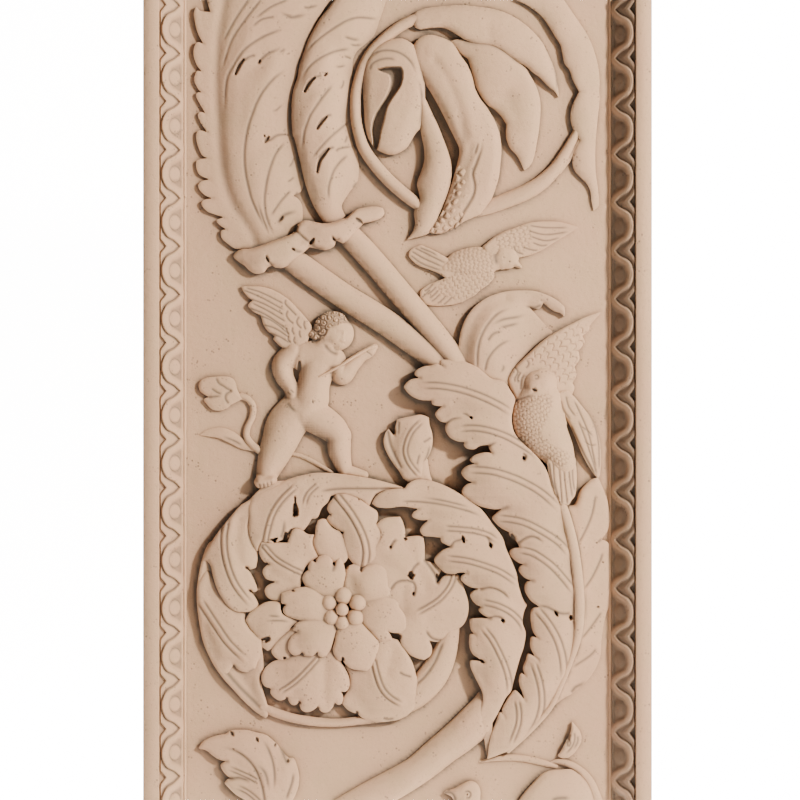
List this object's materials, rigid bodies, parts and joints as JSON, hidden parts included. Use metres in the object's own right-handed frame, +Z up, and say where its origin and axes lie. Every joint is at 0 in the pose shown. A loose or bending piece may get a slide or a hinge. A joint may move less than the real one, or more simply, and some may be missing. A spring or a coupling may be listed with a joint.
{
  "type": "stone relief panel",
  "caption": "Tall carved stone pilaster panel: leaf scroll with rosette, notched husk, seed pods, birds and a winged child between two carved mouldings, cut square at both ends.",
  "frame": {"origin": "centre of the flat back face, which lies against the wall", "axes": "+X to the right seen from the front, +Y into the wall, +Z up along the panel; the carved face looks along -Y"},
  "size_m": [0.6, 0.075, 0.95],
  "materials": {
    "stone": "matt, fine-grained, warm pinkish beige, darker in the deep cuts"
  },
  "bodies": {
    "root": {"relief_panel": "stone"}
  },
  "joints": []
}
